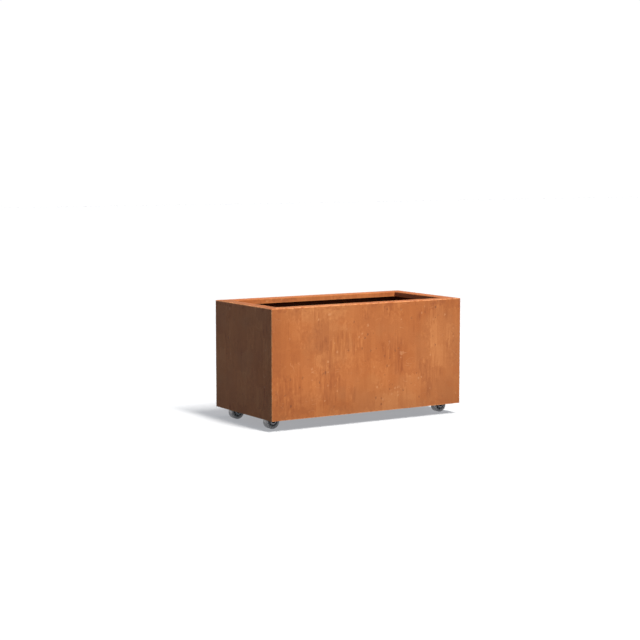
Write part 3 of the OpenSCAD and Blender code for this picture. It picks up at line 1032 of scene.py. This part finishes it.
@dataclass
class SteelBox:
    """The welded box: four folded walls, the base tray, the channels and the weld beads.

    Attributes:
        nodes: The CAD nodes by name.
        under: The nodes under the planting space: the tray first, then the channels.
        sheet: Thickness of the sheet.
        bead_radius: Mean radius of a weld bead.
        stitch: Length of a stitch weld.
        ripple: Distance between the ripples of a bead.
        along: Number of stitch welds along each long side.
        across: Number along each short side and each side of a channel.
        seam_gap: How far the long beads in the corners stop short of the walls' height.
        streaky: Where the front wall's streaks stand thickest.
        greyed, reddened: Where its rust is paler and greyer, and where it is redder.
    """

    nodes: Dict[str, bpy.types.Object]
    under: Tuple[str, ...] = ("base_tray", "left_bearer", "right_bearer", "middle_bearer")
    sheet: float = 3 * MM
    bead_radius: float = 2.2 * MM
    stitch: float = 40 * MM
    ripple: float = 3.2 * MM
    along: int = 7
    across: int = 4
    seam_gap: float = 12 * MM
    streaky: Tuple[Zone, ...] = (
        (-0.22, 0.20, 0.09, 0.14),
        (0.13, 0.31, 0.07, 0.09),
        (0.33, 0.21, 0.08, 0.08),
        (-0.42, 0.16, 0.08, 0.10),
        (-0.14, 0.36, 0.16, 0.06),
    )
    greyed: Tuple[Zone, ...] = ((-0.21, 0.37, 0.14, 0.14), (0.38, 0.30, 0.16, 0.30))
    reddened: Tuple[Zone, ...] = (
        (-0.46, 0.26, 0.12, 0.30),
        (0.04, 0.24, 0.16, 0.14),
        (-0.20, 0.08, 0.20, 0.05),
    )

    def steel(self, name: str, shift: Place, **looks: Any) -> bpy.types.Material:
        """Makes the rust skin for one sheet.

        Args:
            name: The material's name.
            shift: Moves the pattern.
            looks: More of the skin's settings.

        Returns:
            The finished material.
        """
        left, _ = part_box("left_wall")
        low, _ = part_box("front_wall")
        _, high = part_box("back_wall")
        return WeatheredSteel(name, -left.x, high.y, low.z, high.z, shift, **looks).make()

    def stitches(self, count: int, start: Vector, end: Vector) -> List[Matrix]:
        """Spreads short beads evenly along a line.

        Args:
            count: Number of beads.
            start: The line's start.
            end: The line's end.

        Returns:
            The place of each bead.
        """
        line = end - start
        turn = Vector((1, 0, 0)).rotation_difference(line.normalized()).to_matrix().to_4x4()
        steps = ((i + 0.5) / count for i in range(count))
        return [Matrix.Translation(start + line * step) @ turn for step in steps]

    def tray_beads(self) -> List[Matrix]:
        """Finds the beads between the tray's edges and the walls.

        Returns:
            The place of each bead.
        """
        low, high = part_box("base_tray")
        z = low.z - 0.4 * MM
        inset = 1.2 * MM
        x0, x1, y0, y1 = low.x + inset, high.x - inset, low.y + inset, high.y - inset
        places: List[Matrix] = []
        for y in (y0, y1):
            places += self.stitches(self.along, Vector((x0, y, z)), Vector((x1, y, z)))
        for x in (x0, x1):
            places += self.stitches(self.across, Vector((x, y0, z)), Vector((x, y1, z)))
        return places

    def bearer_beads(self) -> List[Matrix]:
        """Finds the beads between the channels and the tray.

        Returns:
            The place of each bead.
        """
        places: List[Matrix] = []
        for name in self.under[1:]:
            low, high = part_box(name)
            z = high.z - 1.3 * MM
            for x in (low.x, high.x):
                places += self.stitches(self.across, Vector((x, low.y, z)), Vector((x, high.y, z)))
        return places

    def seam_beads(self) -> List[Matrix]:
        """Finds the long beads inside the four upright corners.

        Returns:
            The place of each bead.
        """
        low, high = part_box("front_wall")
        _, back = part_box("back_wall")
        inset = self.sheet + 0.6 * MM
        x, y, middle = high.x - inset, back.y - inset, (low.z + high.z) / 2
        upright = Matrix.Rotation(math.radians(90), 4, "Y")
        sides = [corner.value for corner in Corner]
        return [Matrix.Translation((sx * x, sy * y, middle)) @ upright for sx, sy in sides]

    def weld(
        self, name: str, length: float, places: Sequence[Matrix], metal: bpy.types.Material
    ) -> None:
        """Lays beads of one length at their places, as one piece."""
        bead = Bench.bead("bead", length, self.bead_radius, self.ripple)
        settle(Bench.repeated(name, bead, places), "box", metal)

    def build(self) -> None:
        """Dresses every sheet of the box and lays the welds."""
        # Painted light and shade: tone, rim_painted_shade and tinge set each wall to how light
        # falls on it.
        looks: Dict[str, Dict[str, Any]] = {
            "front_wall": {
                "rim_painted_shade": 0.58,
                "streaky": self.streaky,
                "greyed": self.greyed,
                "reddened": self.reddened,
            },
            "back_wall": {"tone": 0.93, "rim_painted_shade": 0.64, "painted_light_tint": (1.01, 0.94, 0.86)},
            "left_wall": {"rim_painted_shade": 0.45, "painted_light_tint": (1.04, 1.19, 1.66), "run": Run.Y},
            "right_wall": {
                "tone": 0.90,
                "rim_painted_shade": 0.64,
                "painted_light_tint": (1.05, 0.96, 0.82),
                "run": Run.Y,
            },
        }
        for i, (wall, look) in enumerate(looks.items()):
            dress(self.nodes[wall], self.steel(f"rust_{wall}", (3.1 * i, 1.7 * i, 0.9 * i), **look))
        # The tray, channels and welds take the darker inside colour all over, painted shade
        # included.
        everywhere = 1.0
        under = self.steel("rust_base", (5.3, 2.9, 1.1), tone=0.95, sheltered=everywhere)
        for part in self.under:
            dress(self.nodes[part], under)
        metal = self.steel("rust_welds", (0.7, 4.1, 2.3), tone=1.15, sheltered=everywhere)
        low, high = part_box("front_wall")
        self.weld("tray_welds", self.stitch, self.tray_beads(), metal)
        self.weld("bearer_welds", self.stitch, self.bearer_beads(), metal)
        self.weld("seam_welds", high.z - low.z - self.seam_gap, self.seam_beads(), metal)


@dataclass
class Hardware:
    """The bolts and nuts that hold the castors to the channels.

    Attributes:
        nodes: The CAD nodes by name.
        bolt: The bolts' sizes.
        thread: Length of thread that is drawn.
        gap_x, gap_y: Distances between a plate's holes.
        swivel_x, swivel_y: Distances of the swivels from the planter's middle.
    """

    nodes: Dict[str, bpy.types.Object]
    bolt: HexBolt = HexBolt()
    thread: float = 13 * MM
    gap_x: float = 62 * MM
    gap_y: float = 47 * MM
    swivel_x: float = 426 * MM
    swivel_y: float = 156.5 * MM

    def places(self, z: float) -> List[Matrix]:
        """Finds every castor bolt.

        Args:
            z: The height that is asked for.

        Returns:
            The place of each bolt at that height.
        """
        made = []
        for corner in Corner:
            sx, sy = corner.value
            for x in (-self.gap_x / 2, self.gap_x / 2):
                for y in (-self.gap_y / 2, self.gap_y / 2):
                    spot = (sx * self.swivel_x + x, sy * self.swivel_y + y, z)
                    made.append(Matrix.Translation(spot))
        return made

    def build(self, steel: bpy.types.Material) -> None:
        """Makes the bolts and nuts, and dresses the washers.

        Args:
            steel: The fasteners' finish.
        """
        low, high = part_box("castor_bolts")
        bolt = self.bolt.make("bolt", high.z - low.z, self.thread)
        bolts = Bench.repeated("castor_bolt_set", bolt, self.places(low.z))
        settle(bolts, "box", steel, ["castor_bolts"])

        low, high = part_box("castor_nuts")
        nut = Bench.hexagon("nut", self.bolt.flats, high.z - low.z, both_ends=True)
        nuts = Bench.repeated("castor_nut_set", nut, self.places(low.z))
        settle(nuts, "box", steel, ["castor_nuts"])
        dress(self.nodes["castor_washers"], steel)


@dataclass
class CastorFinishes:
    """The materials that the four castors share.

    Attributes:
        pressed: Plated sheet, of the plates and forks.
        turned: Plated bar, of the kingpins, races and sleeves.
        dark: Near-black, on the axle bolts and nuts.
        balls: Polished steel.
        rubber: The tyres.
        plastic: The wheel centres.
        bush: The wheel bushes.
    """

    pressed: bpy.types.Material
    turned: bpy.types.Material
    dark: bpy.types.Material
    balls: bpy.types.Material
    rubber: bpy.types.Material
    plastic: bpy.types.Material
    bush: bpy.types.Material

    @staticmethod
    def make() -> "CastorFinishes":
        """Builds the materials.

        Returns:
            The castors' finishes.
        """
        return CastorFinishes(
            pressed=ZincPlate("zinc_pressed", (0.27, 0.27, 0.285), 0.38, 0.3).make(),
            turned=ZincPlate("zinc_turned", (0.42, 0.42, 0.43), 0.34, 0.3).make(),
            dark=ZincPlate("dark_bolts", (0.030, 0.030, 0.032), 0.55, 0.0).make(),
            balls=ZincPlate("ball_steel", (0.78, 0.79, 0.80), 0.10, 0.0).make(),
            rubber=Rubber("grey_rubber", (AXLE_FROM_MIDDLE, WHEEL_RADIUS), WHEEL_RADIUS).make(),
            plastic=MouldedPlastic("grey_plastic", (0.440, 0.415, 0.400), 0.28).make(),
            bush=MouldedPlastic("pale_plastic", (0.62, 0.59, 0.52), 0.4).make(),
        )


@dataclass
class Castor:
    """One swivel castor: its pressed head and fork, its axle and its wheel.

    Attributes:
        corner: The corner that it stands at.
        nodes: The CAD nodes by name.
        finishes: Its materials.
        wheel: Radius of the tread.
        seat: Radius of the tyre's seat on the wheel centre.
        half_width: Half the tyre's width.
        shoulder: Radius of the tyre's shoulders.
        bolt: The axle bolt's sizes.
        thread: Length of thread that is drawn.
        nut: Height of the axle nut with its collar.
        collar: Height of the collar.
        collar_width: Width across the collar.
        slope: Width and height of the slopes on the collar.
    """

    corner: Corner
    nodes: Dict[str, bpy.types.Object]
    finishes: CastorFinishes
    wheel: float = WHEEL_RADIUS
    seat: float = 25 * MM
    half_width: float = 15 * MM
    shoulder: float = 2.5 * MM
    bolt: HexBolt = HexBolt()
    thread: float = 9 * MM
    nut: float = 6.5 * MM
    collar: float = 1.5 * MM
    collar_width: float = 11.5 * MM
    slope: float = 0.6 * MM

    def named(self, part: str) -> str:
        """Returns the full name of one of the castor's nodes or bodies."""
        return f"{self.corner.label}_{part}"

    def ends(self, part: str) -> Tuple[Vector, Vector]:
        """Finds the axle's middle line in one of the castor's nodes.

        Args:
            part: The node's name without its corner.

        Returns:
            The ends of the line, front end first.
        """
        low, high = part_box(self.named(part))
        middle = (low + high) / 2
        return Vector((middle.x, low.y, middle.z)), Vector((middle.x, high.y, middle.z))

    def fit(
        self, piece: bpy.types.Object, part: str, body: str, finish: bpy.types.Material
    ) -> None:
        """Lays an upright piece along the axle, from the end that the bolt's head is on.

        Args:
            piece: The new piece.
            part: The node that it replaces.
            body: The body that it rides on.
            finish: Its material.
        """
        front, back = self.ends(part)
        side, _ = self.corner.value
        start, lie = (front, Lie.BACKWARD) if side > 0 else (back, Lie.FORWARD)
        piece.data.transform(Matrix.Translation(start) @ lie.value)
        settle(piece, self.named(body), finish, [self.named(part)])

    def tyre(self) -> None:
        """Turns the tyre, with a moulding seam round its tread and a step in its sides."""
        r, s, h, c = self.wheel, self.seat, self.half_width, self.shoulder
        step = 0.5 * MM
        side = [(s, 0.0), (s + 1.6 * MM, 0.0), (s + 2.0 * MM, step), (s + 2.8 * MM, step)]
        side += [(s + 3.2 * MM, 0.0), (r - c, 0.0)]
        for degrees in (22.5, 45.0, 67.5):
            a = math.radians(degrees)
            side.append((r - c + c * math.sin(a), c - c * math.cos(a)))
        side += [(r - 0.12 * MM, c), (r - 0.05 * MM, h * 0.55)]
        side += [(r - 0.15 * MM, h - 0.7 * MM), (r, h - 0.3 * MM)]
        outline = side + [(radius, 2 * h - z) for radius, z in reversed(side)] + [side[0]]
        tyre = Bench.turned(self.named("tyre_moulded"), outline, 96)
        self.fit(tyre, "tyre", "wheel", self.finishes.rubber)

    def axle_bolt(self) -> None:
        """Makes the axle bolt."""
        front, back = self.ends("axle_bolt")
        bolt = self.bolt.make(self.named("axle_bolt_turned"), back.y - front.y, self.thread)
        self.fit(bolt, "axle_bolt", "swivel", self.finishes.dark)

    def axle_nut(self) -> None:
        """Makes the lock nut, with its round collar outermost."""
        top, slope = self.nut, self.slope
        flange = top - self.collar
        nut = Bench.hexagon("hexagon", self.bolt.flats, flange, both_ends=True)
        r, bore = self.collar_width / 2, self.bolt.radius + 0.4 * MM
        outline = [(bore, flange * 0.5), (r, flange * 0.5), (r, top - slope), (r - slope, top)]
        outline += [(bore + slope, top), (bore, top - slope), (bore, flange * 0.5)]
        collar = Bench.turned("collar", outline, 32)
        whole = Bench.joined(self.named("axle_nut_collared"), [nut, collar])
        self.fit(whole, "axle_nut", "swivel", self.finishes.dark)

    def build(self) -> None:
        """Dresses the castor's nodes and makes its finer pieces."""
        f = self.finishes
        kept = {
            "plate": f.pressed,
            "kingpin": f.turned,
            "lower_race": f.turned,
            "balls": f.balls,
            "fork": f.pressed,
            "axle_sleeve": f.turned,
            "wheel_centre": f.plastic,
            "wheel_bush": f.bush,
        }
        for part, finish in kept.items():
            dress(self.nodes[self.named(part)], finish)
        self.tyre()
        self.axle_bolt()
        self.axle_nut()


# --- The studio ---


@dataclass
class Studio:
    """A pale floor, a white surround, soft light from the front and above, and the camera.

    Angles are in degrees: "down" is below the level and "turn" is about Z, from the Y axis. A
    light's width, height or angle is the angle that it fills, seen from the planter.
    """

    camera_place: Place = (-3.8296, -5.9986, 1.1674)
    camera_down: float = 5.861
    camera_turn: float = -31.866
    camera_reach: float = 200.0
    lens: float = 88.36
    sensor: float = 36.0
    key_colour: Colour = (1.0, 0.985, 0.96)
    key_strength: float = 6.95
    key_down: float = 62.0
    key_turn: float = 9.7
    key_width: float = 7.2
    key_height: float = 25.0
    key_distance: float = 1000.0
    back_strength: float = 1.0
    back_down: float = 9.0
    back_turn: float = 150.0
    back_angle: float = 40.0
    top_power: float = 44.0
    top_size: float = 2.5
    top_place: Place = (0.8, 0.0, 4.0)
    surround: float = 0.181
    surround_colour: Colour = (0.91, 1.11, 1.29)
    floor_size: float = 60.0
    floor_tone: float = 0.32
    floor_colour: Colour = (0.955, 0.972, 1.02)
    floor_glow: float = 0.368
    backdrop_radius: float = 45.0
    backdrop_glow: float = 1.02

    def floor(self) -> None:
        """Lays the floor, which glows a little as a light table does."""
        bpy.ops.mesh.primitive_plane_add(size=self.floor_size, location=(0, 0, 0))
        floor = bpy.context.object
        floor.name = "floor"
        pale = Graph("pale_floor").finish(
            Base_Color=(self.floor_tone,) * 3,
            Roughness=0.9,
            Specular_IOR_Level=0.0,
            Emission_Color=self.floor_colour,
            Emission_Strength=self.floor_glow,
        )
        dress(floor, pale)
        floor.visible_diffuse = False

    def backdrop(self) -> None:
        """Puts a white dome round everything, seen by the camera and in reflections, casting no
        shadow or diffuse light.
        """
        bpy.ops.mesh.primitive_uv_sphere_add(
            segments=48, ring_count=24, radius=self.backdrop_radius
        )
        dome = bpy.context.object
        dome.name = "backdrop"
        white = Graph("white_backdrop").finish(
            Base_Color=(0.0, 0.0, 0.0),
            Emission_Color=(1.0, 1.0, 1.0),
            Emission_Strength=self.backdrop_glow,
            Specular_IOR_Level=0.0,
        )
        dress(dome, white)
        dome.visible_diffuse = False
        dome.visible_shadow = False

    def lamp(self, data: bpy.types.Light, down: float, turn: float) -> bpy.types.Object:
        """Hangs a light.

        Args:
            data: The light.
            down: Angle in degrees that it points below the level.
            turn: Angle in degrees that it is turned from the Y axis.

        Returns:
            The light's object.
        """
        lamp = bpy.data.objects.new(data.name, data)
        lamp.rotation_euler = (math.radians(90.0 - down), 0.0, math.radians(turn))
        bpy.context.scene.collection.objects.link(lamp)
        return lamp

    def lights(self) -> None:
        """Adds the key light, the fill from behind, the light overhead and the dim surround."""
        key_data = bpy.data.lights.new("key", "AREA")
        key_data.energy = self.key_strength * math.pi * self.key_distance**2
        key_data.color = self.key_colour
        key_data.shape = "RECTANGLE"
        key_data.size = 2 * self.key_distance * math.tan(math.radians(self.key_width / 2))
        key_data.size_y = 2 * self.key_distance * math.tan(math.radians(self.key_height / 2))
        key = self.lamp(key_data, self.key_down, self.key_turn)
        key.location = key.rotation_euler.to_matrix() @ Vector((0, 0, self.key_distance))

        back_data = bpy.data.lights.new("back_fill", "SUN")
        back_data.energy = self.back_strength
        back_data.angle = math.radians(self.back_angle)
        self.lamp(back_data, self.back_down, self.back_turn).visible_glossy = False

        top_data = bpy.data.lights.new("overhead", "AREA")
        top_data.energy = self.top_power
        top_data.size = self.top_size
        self.lamp(top_data, 90.0, 0.0).location = self.top_place

        world = bpy.data.worlds.new("surround")
        world.use_nodes = True
        sky = world.node_tree.nodes["Background"]
        sky.inputs["Color"].default_value = (*self.surround_colour, 1.0)
        sky.inputs["Strength"].default_value = self.surround
        bpy.context.scene.world = world

    def camera(self) -> None:
        """Places the camera where the photograph was taken from."""
        data = bpy.data.cameras.new("camera")
        data.lens = self.lens
        data.sensor_width = self.sensor
        data.clip_end = self.camera_reach
        camera = bpy.data.objects.new("camera", data)
        camera.location = self.camera_place
        tilt = math.radians(90.0 - self.camera_down)
        camera.rotation_euler = (tilt, 0.0, math.radians(self.camera_turn))
        bpy.context.scene.collection.objects.link(camera)
        bpy.context.scene.camera = camera

    def build(self) -> None:
        """Builds the whole studio."""
        self.floor()
        self.backdrop()
        self.lights()
        self.camera()
        bpy.context.scene.view_settings.view_transform = "Standard"


def main() -> None:
    """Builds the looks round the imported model."""
    logging.basicConfig(level=logging.INFO, format="%(message)s")
    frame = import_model()
    nodes = frame["nodes"]
    SteelBox(nodes).build()
    finishes = CastorFinishes.make()
    Hardware(nodes).build(finishes.turned)
    for corner in Corner:
        Castor(corner, nodes, finishes).build()
    Studio().build()
    LOG.info("studio built")


if __name__ == "__main__":
    main()
